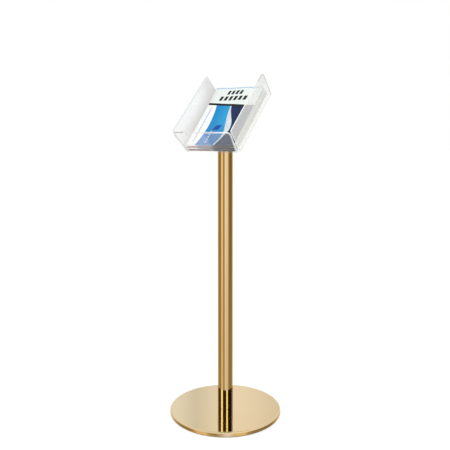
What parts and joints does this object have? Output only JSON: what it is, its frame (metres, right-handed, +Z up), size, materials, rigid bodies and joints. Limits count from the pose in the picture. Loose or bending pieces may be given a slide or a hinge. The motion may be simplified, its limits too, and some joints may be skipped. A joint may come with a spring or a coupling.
{
  "type": "brochure rack",
  "caption": "Floor-standing brochure rack: a clear folded tray, tilted on a round gold post with a weighted disc base, holding a stack of booklets.",
  "frame": {"origin": "on the floor under the middle of the round base", "axes": "+Z up along the post; the tray's lip and open front face -Y, and its high end is towards +Y"},
  "size_m": [0.413, 0.413, 1.2624],
  "materials": {
    "gold": "polished gold plating",
    "iron": "rough cast",
    "rubber": "matt sheet",
    "steel": "zinc plated",
    "nylon": "moulded",
    "acrylic": "clear sheet, polished edges",
    "paper_top": "gloss printed cover",
    "paper_upper": "gloss printed cover",
    "paper_middle": "gloss printed cover",
    "paper_lower": "gloss printed cover",
    "paper_bottom": "gloss printed cover"
  },
  "bodies": {
    "stand": {"base_cover": "gold", "base_weight": "iron", "base_floor_pad": "rubber", "base_bolt": "steel", "base_washer": "steel", "base_spring_washer": "steel", "post_tube": "gold", "post_foot_plug": "steel", "post_top_plug": "steel", "plug_set_screw_1": "steel", "plug_set_screw_2": "steel", "swivel_bush": "nylon"},
    "head": {"head_boss": "gold", "bracket_plate": "gold", "tray_pad": "rubber", "tray": "acrylic", "swivel_spindle": "steel", "swivel_washer": "steel", "swivel_disc_spring": "steel", "swivel_nut": "steel", "tray_screw_1": "steel", "tray_screw_2": "steel", "tray_screw_3": "steel", "tray_screw_4": "steel", "tray_cap_nut_1": "steel", "tray_cap_nut_2": "steel", "tray_cap_nut_3": "steel", "tray_cap_nut_4": "steel"},
    "booklet_bottom": {"booklet_bottom": "paper_bottom"},
    "booklet_lower": {"booklet_lower": "paper_lower"},
    "booklet_middle": {"booklet_middle": "paper_middle"},
    "booklet_upper": {"booklet_upper": "paper_upper"},
    "booklet_top": {"booklet_top": "paper_top"}
  },
  "joints": [
    {"name": "head_swivel", "type": "hinge", "parent": "stand", "child": "head", "pos_m": [0, 0, 1.01], "axis": [0, 0, 1], "continuous": true},
    {"name": "booklet_top_slide", "type": "slide", "parent": "head", "child": "booklet_top", "axis": [0, 0.7071, 0.7071], "range_m": [0, 0.31]},
    {"name": "booklet_upper_slide", "type": "slide", "parent": "head", "child": "booklet_upper", "axis": [0, 0.7071, 0.7071], "range_m": [0, 0.31]},
    {"name": "booklet_middle_slide", "type": "slide", "parent": "head", "child": "booklet_middle", "axis": [0, 0.7071, 0.7071], "range_m": [0, 0.31]},
    {"name": "booklet_lower_slide", "type": "slide", "parent": "head", "child": "booklet_lower", "axis": [0, 0.7071, 0.7071], "range_m": [0, 0.31]},
    {"name": "booklet_bottom_slide", "type": "slide", "parent": "head", "child": "booklet_bottom", "axis": [0, 0.7071, 0.7071], "range_m": [0, 0.31]}
  ]
}
